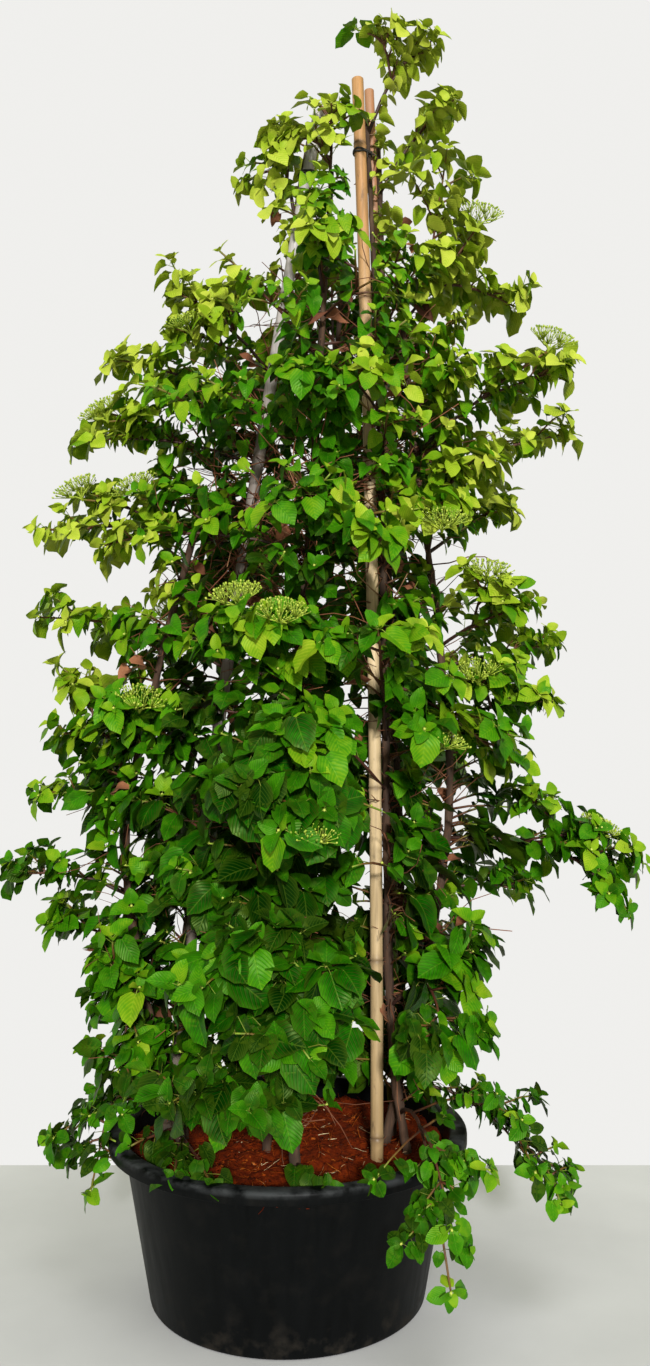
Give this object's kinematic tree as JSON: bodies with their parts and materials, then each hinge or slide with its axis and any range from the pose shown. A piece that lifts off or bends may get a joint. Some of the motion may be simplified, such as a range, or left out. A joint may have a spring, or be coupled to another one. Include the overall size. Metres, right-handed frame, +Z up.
{
  "type": "potted climbing hydrangea",
  "caption": "Tall climbing hydrangea on bamboo canes in a tapered black nursery pot, with broad green leaves and flat flower heads in bud.",
  "frame": {"origin": "middle of the underside of the pot, on the floor", "axes": "+Z up along the plant, the front of the plant faces -Y, +X to its right as seen from the front"},
  "size_m": [1.1824, 0.8005, 2.3773],
  "materials": {
    "pot_plastic": "smooth black moulded plastic with a soft sheen",
    "compost": "loose red-brown coir and bark fibres",
    "bamboo": "weathered cane, pale cream low down and orange-brown near the top",
    "bark": "flaking brown bark",
    "tie": "dark soft tie",
    "foliage": "leathery, finely toothed leaves with a soft gloss"
  },
  "bodies": {
    "root": {"cane_front": "bamboo", "cane_left": "bamboo", "cane_back_right": "bamboo", "stem_on_front_cane": "bark", "stem_on_left_cane": "bark", "stem_on_back_cane": "bark", "stem_centre": "bark", "stem_right": "bark", "stem_left_low": "bark", "stem_back": "bark", "stem_front_low": "bark", "pot": "pot_plastic", "compost": "compost", "tie_front_cane": "tie", "tie_left_cane": "tie", "spray_right_218": "foliage", "spray_back_208": "foliage", "spray_left_200": "foliage", "spray_right_178": "foliage", "spray_right_155": "foliage", "spray_right_150": "foliage", "spray_right_138": "foliage", "spray_right_136": "foliage", "spray_right_118": "foliage", "spray_right_112": "foliage", "spray_right_104": "foliage", "spray_right_100": "foliage", "spray_right_82": "foliage", "spray_right_68": "foliage", "spray_right_52": "foliage", "spray_right_36": "foliage", "spray_front_33": "foliage", "spray_left_170": "foliage", "spray_left_162": "foliage", "spray_left_152": "foliage", "spray_left_136": "foliage", "spray_left_134": "foliage", "spray_left_118": "foliage", "spray_front_112": "foliage", "spray_left_98": "foliage", "spray_left_84": "foliage", "spray_left_72": "foliage", "spray_left_54": "foliage", "spray_left_48": "foliage", "spray_left_33": "foliage", "spray_front_32": "foliage", "spray_front_182": "foliage", "spray_front_152": "foliage", "spray_front_130": "foliage", "spray_front_82": "foliage", "spray_front_58": "foliage", "spray_front_48": "foliage", "spray_back_172": "foliage", "spray_back_140": "foliage", "spray_back_118": "foliage", "spray_back_100": "foliage", "spray_back_80": "foliage", "spray_back_62": "foliage", "spray_back_40": "foliage", "spray_front_199": "foliage"}
  },
  "joints": []
}
